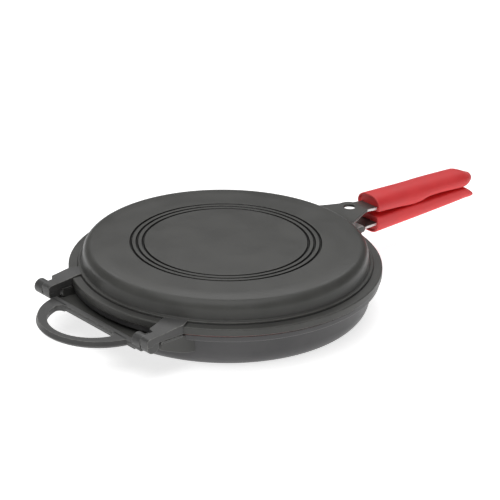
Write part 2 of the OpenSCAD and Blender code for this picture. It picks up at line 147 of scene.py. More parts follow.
def flow(stations, x):
    """A smooth curve through [place, value] stations: cubic pieces whose slopes are the harmonic
    mean of the neighbouring runs, and level where the runs turn, so the curve never overshoots."""
    k = np.asarray(stations, float)
    h, d = np.diff(k[:, 0]), np.diff(k[:, 1]) / np.diff(k[:, 0])
    total, product = d[1:] + d[:-1], d[1:] * d[:-1]
    mid = np.where(product > 0, 2 * d[1:] * d[:-1] / np.where(total == 0, 1, total), 0)
    m = np.concatenate([d[:1], mid, d[-1:]])
    x = np.clip(x, k[0, 0], k[-1, 0])
    i = np.clip(np.searchsorted(k[:, 0], x, side="right") - 1, 0, len(h) - 1)
    u = (x - k[i, 0]) / h[i]
    return ((1 + 2 * u) * (1 - u) ** 2 * k[i, 1] + u * (1 - u) ** 2 * h[i] * m[i]
            + u ** 2 * (3 - 2 * u) * k[i + 1, 1] + u ** 2 * (u - 1) * h[i] * m[i + 1])


square = rounded_path([[0, 0], [9, 0], [9, 9]], 2)
print("helpers ready; a line with one rounded corner has", len(square), "points")

# %% [markdown]
# ## From a grid of points to a mesh
# Every piece is a grid of points: rows along its length, columns round its section. The same few
# lines turn a grid into faces, close its ends, weld seams and poles, and turn all faces outward.
# Each point also keeps its curvature, so that a finish can be lighter on edges, partly worn and
# partly a painted highlight, and darker in grooves, as painted shade.


# %% Numbers kept with the points
def store_value(mesh, name, values):
    """Keep one number per point under a name that a material can read."""
    layer = mesh.attributes.new(name, "FLOAT", "POINT")
    layer.data.foreach_set("value", values.astype(np.float32))


def points_of(mesh):
    """The mesh's points (n, 3), in millimetres."""
    p = np.zeros(len(mesh.vertices) * 3)
    mesh.vertices.foreach_get("co", p)
    return p.reshape(-1, 3) / MM


def store_curvature(mesh):
    """Signed curvature per point, in 1/mm: along an edge it is (n2 - n1).(p2 - p1) / |p2 - p1|^2,
    positive on an outer edge and negative in a groove, and a point takes the mean of its edges."""
    n = len(mesh.vertices)
    normal = np.zeros(n * 3)
    mesh.vertex_normals.foreach_get("vector", normal)
    e = np.zeros(len(mesh.edges) * 2, int)
    mesh.edges.foreach_get("vertices", e)
    p, normal, e = points_of(mesh), normal.reshape(-1, 3), e.reshape(-1, 2)
    dp, dn = p[e[:, 1]] - p[e[:, 0]], normal[e[:, 1]] - normal[e[:, 0]]
    k = (dp * dn).sum(1) / np.maximum((dp ** 2).sum(1), 1e-6)
    total, count = np.zeros(n), np.zeros(n)
    np.add.at(total, e.ravel(), np.repeat(k, 2))
    np.add.at(count, e.ravel(), 1)
    store_value(mesh, "curvature", total / np.maximum(count, 1))


print("each point of a mesh will carry its curvature")


# %% Skin a grid
def skin(name, grid, close_ends=True, loop=False, crease=35):
    """A mesh object from a grid (rows, columns, 3) in mm; columns always join up, rows if loop."""
    rows, cols, _ = grid.shape
    index = np.arange(rows * cols).reshape(rows, cols)
    nxt = np.roll(index, -1, axis=0) if loop else index[1:]
    here = index if loop else index[:-1]
    quads = np.stack([here, np.roll(here, -1, 1), np.roll(nxt, -1, 1), nxt], -1)
    quads = quads.reshape(-1, 4).tolist()
    if close_ends and not loop:
        quads += [index[0, ::-1].tolist(), index[-1].tolist()]
    mesh = bpy.data.meshes.new(name)
    mesh.from_pydata((grid.reshape(-1, 3) * MM).tolist(), [], quads)
    bm = bmesh.new()
    bm.from_mesh(mesh)
    bmesh.ops.remove_doubles(bm, verts=bm.verts, dist=1e-6)
    bmesh.ops.dissolve_degenerate(bm, edges=bm.edges, dist=1e-7)
    if bm.calc_volume(signed=True) < 0:
        bmesh.ops.reverse_faces(bm, faces=bm.faces)
    bm.to_mesh(mesh)
    bm.free()
    mesh.shade_smooth()
    mesh.set_sharp_from_angle(angle=math.radians(crease))
    store_curvature(mesh)
    obj = bpy.data.objects.new(name, mesh)
    bpy.context.scene.collection.objects.link(obj)
    return obj


def around(count):
    """Equal angles once round, without repeating the first."""
    return np.linspace(0, 2 * np.pi, count, endpoint=False)


def lathe(name, line, turns=288):
    """Turn a line of (radius, height) about Z: (r cos a, r sin a, z). Both ends lie on the axis."""
    a = around(turns)
    r, z = line[:, :1], line[:, 1:]
    return skin(name, np.stack([r * np.cos(a), r * np.sin(a), z + 0 * a], -1), close_ends=False)


print("ready to skin grids; a shell is turned in steps of", 360 / len(around(288)), "degrees")

# %% Place a piece
pieces = []


def place(obj, body, node):
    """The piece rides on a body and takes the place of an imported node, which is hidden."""
    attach(obj, body)
    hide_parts(node)
    pieces.append(obj)
    print(f"{obj.name}: {len(obj.data.vertices)} points on {body}")
    return obj


def cast(obj, body):
    """A piece of a pan's one casting."""
    return place(obj, body, "upper_pan" if body == UPPER else "lower_pan")


print("pieces ride on", UPPER, "or", LOWER)

# %% [markdown]
# ## The two pan shells
# Die casting gives each pan one even wall, a big soft corner and a stiff rim. Both are bodies of
# revolution, so a closed profile is turned about the pan's axis: out along the inside, over the
# rim and back along the outside. Three ring grooves in each flat face keep it flat when it is hot.

# %% Shell profiles
ring_radii = [85.2, 79.85, 74.5]
groove_w, groove_flank, groove_depth = 2.7, 1.1, 1.5
lip_r, lip_h, bead_r = 137.2, 5.2, 130.6


def groove_corners(z, up):
    """Corners of the ring grooves in a flat face at height z; up is the way they are cut."""
    floor_z = z + up * groove_depth
    return [corner for r in ring_radii for corner in (
        [r, z, 0.3], [r - groove_flank, floor_z, 0.2],
        [r - groove_w + groove_flank, floor_z, 0.2], [r - groove_w, z, 0.3])]


def profile(corners):
    """Rounded line through [radius, height, corner radius] rows."""
    k = np.array(corners, float)
    return rounded_path(k[:, :2], k[:, 2], steps=12)


lip_bottom = lip_top - lip_h
lower_profile = profile(
    [[0, floor_t, 0], [125.2, floor_t, 15.4], [126.3, lip_top, 1.1], [lip_r, lip_top, 0.7],
     [lip_r, lip_bottom, 1.2], [129.7, lip_bottom, 1.8], [128.1, 0, 19.4]]
    + groove_corners(0, 1) + [[0, 0, 0]])
upper_profile = profile(
    [[0, closed_h - floor_t, 0], [122.3, closed_h - floor_t, 8.3], [126.3, flange_bottom, 1.1],
     [flange_r, flange_bottom, 0.6], [flange_r, flange_top, 1.2], [bead_r, flange_top, 0.8],
     [bead_r, bead_top, 0.9], [127.4, bead_top, 1.6], [125.5, closed_h - 1.6, 9.9],
     [111, closed_h, 80]]
    + groove_corners(closed_h, -1) + [[0, closed_h, 0]])

bowl = cast(lathe("lower_bowl", lower_profile), LOWER)
crown = cast(lathe("upper_crown", upper_profile), UPPER)


# %% Depth in the grooves
def store_sunk(obj, face_z):
    """How deep each point lies in a ring groove: |z - face| / groove_depth, from 0 to 1."""
    p = points_of(obj.data)
    r, depth = np.hypot(p[:, 0], p[:, 1]), np.abs(p[:, 2] - face_z) / groove_depth
    in_rings = (r > ring_radii[-1] - 3.5) & (r < ring_radii[0] + 0.5) & (depth < 1.2)
    store_value(obj.data, "sunk", np.where(in_rings, np.minimum(depth, 1), 0))
    print(obj.name, "has", int((in_rings & (depth > 0.5)).sum()), "points down in its grooves")


store_sunk(bowl, 0)
store_sunk(crown, closed_h)

# %% [markdown]
# ## The seal
# A red silicone ring sits in the upper flange. Its thin lip closes the seam, and is the only part
# of it that shows when the pan is shut. It is turned the same way, as a closed ring.

# %% Gasket ring
(_, _, gasket_low), (_, gasket_r, gasket_high) = node_box("rim_gasket")
gasket_in_r, gasket_out_r = 131.5, 136.4
gasket_step = flange_bottom - 0.05
gasket_corners = np.array([
    [gasket_in_r, gasket_low + 0.1], [gasket_r, gasket_low], [gasket_r, gasket_step],
    [gasket_out_r, gasket_step], [gasket_out_r, gasket_high], [gasket_in_r, gasket_high]])
gasket_line = rounded_path(gasket_corners, [0.3, 0.25, 0.25, 0.1, 0.4, 0.4], steps=4, closed=True,
                           support=0.1)
angle = around(288)[:, None]
gasket_grid = np.stack([gasket_line[:, 0] * np.cos(angle), gasket_line[:, 0] * np.sin(angle),
                        gasket_line[:, 1] + 0 * angle], -1)
place(skin("rim_seal", gasket_grid, loop=True), UPPER, "rim_gasket")

# %% [markdown]
# ## Arms, brackets and lugs
# What grows out of a pan's wall is cast in one with it. Each is a rounded section carried along a
# line: at every station the section's corners are worked out as whole arrays, then rounded. The
# inner end follows the pan's wall, and the free end rolls over in a quarter circle.


# %% Stations and sections
def run(start, end, edge, count=40):
    """Stations from a rolled free end to a plain end: places, and how far the section is drawn in.

    On the rolled end, at angle f, the place is start + edge (1 - cos f) and the draw-in is
    edge (1 - sin f). One more row at the start, 0.35 further in, keeps the end flat.
    """
    way = np.sign(end - start)
    f = np.linspace(0, np.pi / 2, 7)
    rolled = start + way * edge * (1 - np.cos(f))
    inset = edge * (1 - np.sin(f))
    rest = np.linspace(start + way * edge, end, count)[1:]
    places = np.concatenate([[start], rolled, rest])
    return places, np.concatenate([[edge + 0.35], inset, 0 * rest])


def corner_rows(*pairs):
    """Corners (stations, m, 2) from pairs, each value one number or one per station."""
    values = np.broadcast_arrays(*[value for pair in pairs for value in pair])
    return np.stack([np.stack(values[i:i + 2], -1) for i in range(0, len(values), 2)], -2)


def rounded_section(corners, inset, edge, steps):
    """Round a section's corners by edge, less where it is drawn in."""
    radii = np.maximum(edge - inset, 0.02)[:, None] + np.zeros(corners.shape[1])
    return rounded_path(corners, radii, steps=steps, closed=True)


def box_section(y0, y1, z0, z1, inset, edge):
    """Rounded rectangle between y0..y1 and z0..z1 at each station, drawn in by inset."""
    y0, y1, z0, z1 = y0 + inset, y1 - inset, z0 + inset, z1 - inset
    corners = corner_rows((y0, z0), (y1, z0), (y1, z1), (y0, z1))
    return rounded_section(corners, inset, edge, 5)


def channel_section(y0, y1, leg, inner, top, wall, inset, edge):
    """Upside-down U at each station: two legs down to leg, a web between inner and top."""
    y0, y1, leg, top = y0 + inset, y1 - inset, leg + inset, top - inset
    corners = corner_rows((y0, leg), (y0 + wall, leg), (y0 + wall, inner), (y1 - wall, inner),
                          (y1 - wall, leg), (y1, leg), (y1, top), (y0, top))
    return rounded_section(corners, inset, edge, 4)


print("a rounded box section has", box_section(0, 9, 0, 9, np.zeros(1), 1).shape[1], "points")


# %% Carry a section along a line
def per_point(x, section):
    """One place for each of a section's points, from one for each station."""
    return np.repeat(x[:, None], section.shape[1], 1)


def circle_x(radius, y):
    """How far a circle about the pan's axis reaches along X at y."""
    return np.sqrt(np.maximum(radius ** 2 - y ** 2, 0))


def carried(name, x, section, **options):
    """Skin section points (stations, n, 2) of (y, z) at their places along X."""
    return skin(name, np.stack([x, section[..., 0], section[..., 1]], -1), **options)


def along_x(name, x, section, root=None):
    """A section carried along X; root keeps its far end within a wall's radius."""
    at = per_point(x, section)
    if root is not None:
        edge_x = circle_x(root, section[..., 0])
        at = np.minimum(at, -edge_x) if x[0] < 0 else np.maximum(at, edge_x)
    return carried(name, at, section)


def along_y(name, y, x0, x1, z0, z1, inset, edge):
    """A rounded bar along Y between x0..x1 and z0..z1, each a number or one per station."""
    section = box_section(x0, x1, z0, z1, inset, edge)
    return skin(name, np.stack([section[..., 0], per_point(y, section), section[..., 1]], -1))


print("the lip's circle reaches", round(float(circle_x(lip_r, 100.0)), 1), "mm along X at y 100")

# %% [markdown]
# ## The hinge
# Each hinge has two knuckles side by side on a steel pin. The pin is fixed in the lower pan's
# knuckle and the arm's knuckle slides on to it, so the upper pan can be taken off sideways.
# Knuckles are turned forms with a bore; the arm sweeps from the barrel up into the crown's wall.

# %% Knuckles
arm_knuckle_w, knuckle_gap, pan_knuckle_w = 10.0, 0.6, 11.4
hinge_w = arm_knuckle_w + knuckle_gap + pan_knuckle_w
pin_seat, arm_bore, arm_clear, seat_clear = 9, 8, 0.05, 0.01
pin_end_y = {side: node_box(f"{side}_hinge_pin")[1][1] for side in ("near", "far")}
hinge_y0 = {side: pin_end_y[side] - pin_seat - knuckle_gap - arm_knuckle_w for side in pin_end_y}
# Facing ends are drawn back, so that the gap reads as a dark line. The barrel's outer end stands
# back from the arm's side, which runs over it, so that no two faces lie on each other.
end_back, barrel_back = 0.5, 0.15


def knuckle(name, y0, y1, bore_from, bore_to, bore_r):
    """A barrel about the hinge axis from y0 to y1 with a blind bore that starts at bore_from."""
    rows = [[0, y0, 0], [knuckle_r, y0, 0.8], [knuckle_r, y1, 0.8], [0, y1, 0]]
    if bore_from == y1:
        rows[3:] = [[bore_r, y1, 0.4], [bore_r, bore_to, 0.05], [0, bore_to, 0]]
    else:
        rows[:1] = [[0, bore_to, 0], [bore_r, bore_to, 0.05], [bore_r, y0, 0.4]]
    line = rounded_path(np.array(rows)[:, :2], np.array(rows)[:, 2], steps=5)
    a = around(96)
    r, y = line[:, :1], line[:, 1:]
    grid = np.stack([hinge_x + r * np.cos(a), y + 0 * a, hinge_z + r * np.sin(a)], -1)
    return skin(name, grid, close_ends=False)


for side, y in hinge_y0.items():
    seam_y = y + arm_knuckle_w
    arm_end = seam_y - end_back
    cast(knuckle(f"{side}_arm_knuckle", y + barrel_back, arm_end, arm_end, seam_y - arm_bore,
                 pin_r + arm_clear), UPPER)
    y = seam_y + knuckle_gap
    pan_end = y + end_back
    cast(knuckle(f"{side}_pan_knuckle", pan_end, y + pan_knuckle_w, pan_end, y + pin_seat,
                 pin_r + seat_clear), LOWER)

# %% Arms of the upper pan
# Heights above the seam, and sides beside the hinge's outer end, at stations along X
arm_root = -92
arm_top = [[-152.6, 2.6], [-152.2, 4.4], [-151, 5.7], [-149.2, 6.3], [-135, 7.3], [-118, 9.2],
           [-101, 9.8], [arm_root, 10]]
arm_low = [[-152.6, -1.4], [-146.4, -1.4], [-145.6, 0.6], [arm_root, 0.6]]
arm_step = [[-138.8, 10], [-137.6, 16.2]]
arm_near_side = {
    "near": [[-153, 0], [-114.6, 0], [-112.6, 0.7], [-101.3, 6.6], [arm_root, 11.4]],
    "far": [[-153, 0], [-122, 0], [-112, -3], [arm_root, -10.8]]}
arm_far_side = {
    "near": arm_step + [[-130, 18.2], [-122, 20.5], [-113.2, 23.7], [-104, 27], [arm_root, 31]],
    "far": arm_step + [[-119.5, 16.4], [-117.2, 15.8], [-106, 10], [arm_root, 2.6]]}
for side, y in hinge_y0.items():
    x, inset = run(hinge_x - knuckle_r, arm_root, 0.5, 90)
    section = box_section(y + flow(arm_near_side[side], x), y + flow(arm_far_side[side], x),
                          seam_z + flow(arm_low, x), seam_z + flow(arm_top, x), inset, 0.55)
    cast(along_x(f"{side}_arm", x, section, crown_wall_r), UPPER)

# %% [markdown]
# ## The lower pan's hinge side
# Under each arm a bracket grows out of the wall, open below like most castings, to save metal and
# keep walls even. A crossbar joins the hinges, and outside it a D-shaped loop gives the helping
# hand a hold. Its band is a section carried round between two arcs.

# %% Brackets under the arms
bracket_x, bracket_root, pad_end = -137.5, -88, -114.8
# The top stands just below the lip, so that no two faces lie on each other
bracket_top = lip_top - 0.08
bracket_pad_top = flange_bottom - 0.4
bracket_under = [[bracket_x, -7.5], [-126, -12.4], [-116, -16.4], [-106, -19], [-90, -20]]
front_t, web_t, leg_t, channel_back, flange_clear = 2.8, 4.5, 3.0, 0.05, 0.6

for side, y in hinge_y0.items():
    x, inset = run(bracket_x, bracket_x + front_t, 0.9, 8)
    under = seam_z + flow(bracket_under, x)
    section = box_section(y, y + hinge_w, under, bracket_top, inset, 0.8)
    cast(along_x(f"{side}_bracket_front", x, section), LOWER)
    # The open channel starts inside the front wall and stands a little back from its faces
    x, inset = run(bracket_x + 1.5, bracket_root, 0.3, 40)
    under = seam_z + flow(bracket_under, x)
    section = channel_section(y + channel_back, y + hinge_w - channel_back, under + channel_back,
                              lip_top - web_t, bracket_top - channel_back, leg_t, inset, 0.8)
    cast(along_x(f"{side}_bracket", x, section, bowl_wall_r), LOWER)
    # Outside the flange the bracket stands higher and carries the arm
    x, inset = run(bracket_x, pad_end, 0.4, 40)
    rim_y = np.sqrt((flange_r + flange_clear) ** 2 - x ** 2)
    if y < 0:
        pad_y0, pad_y1 = y, np.minimum(y + hinge_w, -rim_y)
    else:
        pad_y0, pad_y1 = np.maximum(y, rim_y), y + hinge_w
    pad_y1 = np.maximum(pad_y1, pad_y0 + 0.4)
    section = box_section(pad_y0, pad_y1, lip_top - 1.5, bracket_pad_top, inset, 0.3)
    cast(along_x(f"{side}_bracket_pad", x, section), LOWER)
    # A web joins the bracket to its knuckle
    web_y = y + arm_knuckle_w + knuckle_gap
    x, inset = run(hinge_x + 1, bracket_x + 2, 0.3, 10)
    section = box_section(web_y, web_y + pan_knuckle_w, hinge_z - knuckle_r, hinge_z + 0.6,
                          inset, 0.7)
    cast(along_x(f"{side}_knuckle_web", x, section), LOWER)

# %% Crossbar and pocket floor
bar_x, bar_top, bar_h, bar_ledge = -151.6, seam_z - 4.2, 3.8, 6.6
bar_y0 = hinge_y0["near"] + arm_knuckle_w + knuckle_gap
bar_y1 = hinge_y0["far"] - knuckle_gap - 0.4
pocket_r, pocket_top, pocket_bottom = 127.5, bar_top - 4, bar_top - 6

y, inset = run(bar_y1, bar_y0, 0.8, 60)
cast(along_y("crossbar", y, bar_x, bar_x + bar_ledge, bar_top - bar_h, bar_top, inset, 1.0), LOWER)
y = np.linspace(bar_y0 + pan_knuckle_w - 1, bar_y1 - 0.1, 60)
cast(along_y("pocket_floor", y, bar_x + 1.5, -circle_x(pocket_r, y), pocket_bottom, pocket_top,
             0 * y, 0.5), LOWER)
# The floor's corner runs on below the far bracket, clear of the turning arm
y = np.linspace(hinge_y0["far"] - 1, hinge_y0["far"] + 10, 8)
cast(along_y("far_pocket_corner", y, -140.4, -128, pocket_bottom - 0.05, pocket_top - 0.05,
             0 * y, 0.5), LOWER)

# %% Helper loop
loop_out_c, loop_out_r = np.array([-138.3, 2.5]), 55.1
loop_in_c, loop_in_r, loop_corner_r = np.array([-146.0, 1.5]), 39.6, 5.0
loop_bottom = bar_top - 6.0


def circle_points(centre, radius, a):
    """Points centre + radius (cos a, sin a)."""
    return centre + radius * np.stack([np.cos(a), np.sin(a)], -1)


# The opening: an arc, closed by the crossbar with a small arc in each corner
corner_x, opening_y = bar_x - loop_corner_r, loop_in_c[1]
reach = loop_in_r - loop_corner_r
corner_dy = math.sqrt(reach ** 2 - (corner_x - loop_in_c[0]) ** 2)
turn = math.atan2(corner_dy, corner_x - loop_in_c[0])
inner_line = np.concatenate([
    [[bar_x + 2, opening_y + corner_dy]],
    circle_points([corner_x, opening_y + corner_dy], loop_corner_r,
                  np.linspace(0, turn, 14))[:-1],
    circle_points(loop_in_c, loop_in_r, np.linspace(turn, 2 * np.pi - turn, 110)),
    circle_points([corner_x, opening_y - corner_dy], loop_corner_r,
                  np.linspace(2 * np.pi - turn, 2 * np.pi, 14))[1:],
    [[bar_x + 2, opening_y - corner_dy]]])
root_turn = math.acos((bar_x + 1.5 - loop_out_c[0]) / loop_out_r)
# Points crowd at the inner corners, so the outer line's points move closer together there too
even = np.linspace(0, 1, len(inner_line))
share = 0.65 * even + 0.35 * (0.5 - 0.5 * np.cos(np.pi * even))
outer_line = circle_points(loop_out_c, loop_out_r, root_turn + share * (2 * np.pi - 2 * root_turn))
across = outer_line - inner_line
width = np.linalg.norm(across, axis=1)
across /= width[:, None]
# Flat top, a side that slopes out below its crisp edge, and a narrower underside
loop_corners = corner_rows((0.8, loop_bottom), (width - 1.5, loop_bottom), (width, bar_top - 4.2),
                           (width - 1.7, bar_top), (0, bar_top))
loop_section = rounded_path(loop_corners, np.array([1.0, 1.0, 1.2, 0.45, 0.6]), closed=True)
loop_xy = inner_line[:, None] + across[:, None] * loop_section[..., :1]
cast(skin("helper_loop", np.concatenate([loop_xy, loop_section[..., 1:]], -1)), LOWER)

# %% [markdown]
# ## The handle side
# Each pan ends in a lug and a narrow tang that the silicone sleeve is pushed on to. The upper lug
# has the hanging hole, so it is a ring-shaped surface: its columns run from the hole's edge out
# below, round the outline and back over the top, and its rows go once round the hole.

# %% Upper lug with its eye
tang_w, lug_t, eye_r, hole_r = 10.6, 2.8, 12.0, 5.6
upper_lug_z = seam_z + 17.5
eye = np.array([153.5, 4.5])
lug_top = [[110, 2.9], [122, 1.6], [130, 0.5], [138, 0.05], [142, 0], [160, 0], [166, -0.5],
           [172, -1.2], [184, -2.1]]
lug_near_side = [[121.5, -27.5], [132, -24.2], [140, -20.6], [150, -15.8], [158, -12.3],
                 [164, -tang_w], [178, -tang_w]]
lobe = circle_points(eye, eye_r, np.radians(np.linspace(31, 100, 12)))
lug_far_side = [[132, 24.4], [120.5, 29]]
wall_line = circle_points(np.zeros(2), crown_wall_r, np.radians(np.linspace(13.6, -12.8, 14)))
outline = np.concatenate([lug_near_side, [[178, tang_w]], lobe, lug_far_side, wall_line])


def ray_reach(centre, line, angles):
    """Distance from centre to a closed line along each angle: the nearest crossing ahead."""
    a, b = line, np.roll(line, -1, 0)
    d = np.stack([np.cos(angles), np.sin(angles)], -1)[:, None]
    e, w = (b - a)[None], (a - centre)[None]
    cross = d[..., 0] * e[..., 1] - d[..., 1] * e[..., 0]
    safe = np.where(cross == 0, 1, cross)
    t = (w[..., 0] * e[..., 1] - w[..., 1] * e[..., 0]) / safe
    u = (w[..., 0] * d[..., 1] - w[..., 1] * d[..., 0]) / safe
    return np.where((t > 0) & (u >= 0) & (u <= 1) & (cross != 0), t, 1e9).min(1)


def fill_run(section, at, count):
    """Points spread over the straight run between a section's points at - 1 and at."""
    a, b = section[:, at - 1:at], section[:, at:at + 1]
    return a + (b - a) * np.linspace(0, 1, count + 2)[None, 1:-1, None]


a = around(360)
far_r = ray_reach(eye, outline, a)
kernel = np.hanning(9) / np.hanning(9).sum()
far_r = np.convolve(np.concatenate([far_r[-4:], far_r, far_r[:4]]), kernel, "valid")
ring_corners = corner_rows((hole_r, 0), (far_r, 0), (far_r, lug_t), (hole_r, lug_t))
ring = rounded_path(ring_corners, np.array([0.5, 0.9, 0.9, 0.5]), steps=5, closed=True)
corner_n = ring.shape[1] // 4
ring = np.concatenate([
    ring[:, :corner_n], fill_run(ring, corner_n, 6), ring[:, corner_n:3 * corner_n],
    fill_run(ring, 3 * corner_n, 6), ring[:, 3 * corner_n:]], 1)
lug_xy = eye + ring[..., :1] * np.stack([np.cos(a), np.sin(a)], -1)[:, None]
lug_z = upper_lug_z + flow(lug_top, lug_xy[..., 0]) - lug_t + ring[..., 1]
cast(skin("upper_lug", np.concatenate([lug_xy, lug_z[..., None]], -1), loop=True), UPPER)

# %% Skirt below the upper lug
x, inset = run(140, 120, 0.6, 24)
near = flow([[118, -30], [132, -24.6], [140, -20.6]], x)
far = flow([[118, 30.5], [132, 24.4], [140, 21.5]], x)
section = box_section(near + 0.3, far - 0.3, flange_top - 0.8, upper_lug_z - 1.2, inset, 0.8)
at = np.minimum(per_point(x, section), circle_x(138.8, section[..., 0]) - inset[:, None])
at = np.maximum(at, circle_x(crown_wall_r, section[..., 0]))
cast(carried("upper_lug_skirt", at, section), UPPER)

# %% Lower lug
lower_tang_z = seam_z + 0.6
lug_half = [[118, 25], [127, 20.5], [135, 17.6], [146, 14.8], [155.5, 14.2], [158.5, 12],
            [163, tang_w], [184, tang_w]]
lug_pad_top = [[118, 3.4], [154.2, 3.4], [158, 0], [184, 0]]
lug_under = [[118, -14], [127, -11.5], [138, -9.2], [148, -5.2], [154, -3], [160, -2.8],
             [184, -2.8]]
x, inset = run(180, 120, 0.5, 80)
half = flow(lug_half, x)
section = box_section(-half, half, lower_tang_z + flow(lug_under, x),
                      lower_tang_z + flow(lug_pad_top, x), inset, 0.8)
at = per_point(x, section)
# Under the closed flange the lug is no higher than the lip
under_flange = (section[..., 1] > lip_top) & (at < circle_x(flange_r + 0.8, section[..., 0]))
section[..., 1] = np.where(under_flange, np.minimum(section[..., 1], lip_top - 0.02),
                           section[..., 1])
at = np.maximum(at, circle_x(bowl_wall_r, section[..., 0]))
cast(carried("lower_lug", at, section), LOWER)

# %% Handle cores
core_start, core_end = 176, 289
core_half = [[core_start, 10.5], [250, 9.2], [279, 8.6], [285, 6.9], [288, 4], [core_end, 1.5]]
upper_core_top = [[core_start, -1.6], [186, 0.6], [240, -0.5], [core_end, -2.6]]
upper_core_low = [[core_start, -4.3], [186, -4.6], [244, -6], [core_end, -6]]
lower_core_top = [[core_start, 0], [186, 0.6], [236, 0.4], [246, 3.2], [core_end, 3.2]]
lower_core_low = [[core_start, -2.7], [186, -4.4], [236, -4.6], [246, -2], [core_end, -2]]
for name, base_z, low, top, body in (
        ("upper_core", upper_lug_z, upper_core_low, upper_core_top, UPPER),
        ("lower_core", lower_tang_z, lower_core_low, lower_core_top, LOWER)):
    x = np.linspace(core_start, core_end, 60)
    half = flow(core_half, x)
    section = box_section(-half, half, base_z + flow(low, x), base_z + flow(top, x), 0 * x, 0.8)
    cast(along_x(name, x, section), body)

# %% [markdown]
# ## The silicone sleeves
# The grips are moulded silicone: round on the outside, flatter where they face each other, and
# drawn together towards their rounded ends. A superellipse gives that section, because one
# exponent per half sets how boxy it is. The front is a shallow dish with a raised edge.


# %% Sleeve surfaces
def superellipse(w, low, mid, top, n_low, n_high, lean_low, lean_high, points=128):
    """Section points: y = w sgn(cos t)|cos t|^(2/n), z = mid + reach sgn(sin t)|sin t|^(2/n), with
    its own reach, exponent n and lean below and above the middle. A lean draws the far edge in."""
    t = around(points)
    below = np.sin(t) < 0
    n = np.where(below, n_low, n_high)
    reach = np.where(below, (mid - low)[:, None], (top - mid)[:, None])
    c, s = np.abs(np.cos(t)) ** (2 / n), np.abs(np.sin(t)) ** (2 / n)
    y = w[:, None] * np.sign(np.cos(t)) * c * (1 - np.where(below, lean_low, lean_high) * s)
    return np.stack([y, mid[:, None] + reach * np.sign(np.sin(t)) * s], -1)


# Front, from the dish 1.4 mm deep out over its raised edge: place along X, and draw-in
FRONT_X = np.array([1.4, 1.4, 1.4, 1.15, 0.25, 0.0, 0.0, 0.12, 0.45, 0.9])
FRONT_IN = np.array([6.0, 2.4, 2.0, 1.75, 1.65, 1.4, 0.85, 0.4, 0.12, 0.0])
FLAT_LEAN, SIDE_TAPER = 0.09, 1.2


def sleeve(name, half_w, low, top, nose, plan_n, sweep, thin, thin_power, mid_share, n_low,
           n_high):
    """A sleeve along X, in which nose is the length of its last stretch. At share u of that
    stretch the width is (1 - u^n)^(1/n) of the full one with n = plan_n, the height is
    1 - thin u^p of the full one, and the underside has risen by sweep u^1.5."""
    f = np.linspace(0, np.pi / 2, 20)[1:]
    end_u = np.unique(np.concatenate([np.linspace(0, 0.9, 10)[1:], np.sin(f) ** (2 / plan_n)]))
    nose_x = sleeve_x1 - nose
    body_x = np.linspace(sleeve_x0, nose_x, 110)
    x = np.concatenate([sleeve_x0 + FRONT_X, body_x[2:], sleeve_x1 - nose * (1 - end_u)])
    inset = np.concatenate([FRONT_IN, np.zeros(len(x) - len(FRONT_IN))])
    u = np.maximum(0, x - nose_x) / nose
    k = np.maximum(0.02, np.maximum(0, 1 - u ** plan_n) ** (1 / plan_n))
    w = (half_w - SIDE_TAPER * (x - sleeve_x0) / (sleeve_x1 - sleeve_x0)) * k
    z0 = seam_z + flow(low, x) + sweep * u ** 1.5
    z1 = z0 + (seam_z + flow(top, x) - z0) * (1 - thin * u ** thin_power)
    mid = z0 + (z1 - z0) * mid_share
    lean_low, lean_high = (FLAT_LEAN, 0) if n_low > n_high else (0, FLAT_LEAN)
    section = superellipse(w - inset, z0 + inset, mid, z1 - inset, n_low, n_high, lean_low,
                           lean_high)
    return carried(name, per_point(x, section), section, crease=60)


upper_low = [[173, 12], [200, 9.9], [222, 7.9], [229, 8.1], [238, 10], [245, 10.35], [286, 7.6],
             [304, 6.8]]
upper_top = [[173, 26.4], [230, 24.1], [286, 21.6], [304, 20.6]]
lower_low = [[173, -10.6], [230, -9.2], [290, -6.9], [304, -5.8]]
lower_top = [[173, 7.1], [225, 6.5], [290, 5.6], [304, 5.4]]
upper_grip = sleeve("upper_grip", 14.8, upper_low, upper_top, nose=18, plan_n=2, sweep=6,
                    thin=0.72, thin_power=1.8, mid_share=0.28, n_low=10, n_high=2.3)
lower_grip = sleeve("lower_grip", 14.3, lower_low, lower_top, nose=14, plan_n=3.2, sweep=0,
                    thin=0.86, thin_power=1.25, mid_share=0.66, n_low=2.8, n_high=10)
place(upper_grip, UPPER, "upper_sleeve")
place(lower_grip, LOWER, "lower_sleeve")

# %% [markdown]
# ## Finishes
# Three effects are shared, so each is a node group: fine grain for a height and a tone, edges
# made lighter (partly worn, partly a painted highlight) and grooves made darker (painted shade)
# from the stored curvature, and turned rings about the pan's axis. Constants stay on the shader.
# From here on lengths are in metres, as the shader nodes read them.


# %% Node helpers
def new_group(name, inputs, outputs):
    """A shader node group with float sockets, and its input and output nodes."""
    tree = bpy.data.node_groups.new(name, "ShaderNodeTree")
    for label, value in inputs:
        socket = tree.interface.new_socket(name=label, in_out="INPUT",
                                           socket_type="NodeSocketFloat")
        socket.default_value = value
    for label in outputs:
        tree.interface.new_socket(name=label, in_out="OUTPUT", socket_type="NodeSocketFloat")
    return tree, tree.nodes.new("NodeGroupInput"), tree.nodes.new("NodeGroupOutput")


def add(tree, kind, **values):
    """A node with its settings and inputs set by name, or input 2 as i2; a socket is linked."""
    node = tree.nodes.new(kind)
    for key, value in values.items():
        if hasattr(node, key):
            setattr(node, key, value)
            continue
        by_place = key[0] == "i" and key[1:].isdigit()
        socket = node.inputs[int(key[1:])] if by_place else node.inputs[key]
        if isinstance(value, bpy.types.NodeSocket):
            tree.links.new(value, socket)
        else:
            socket.default_value = value
    return node


def math_node(tree, operation, first, second=0.5):
    """One arithmetic step."""
    return add(tree, "ShaderNodeMath", operation=operation, i0=first, i1=second).outputs[0]


def times(tree, first, second):
    """Product of two values."""
    return math_node(tree, "MULTIPLY", first, second)


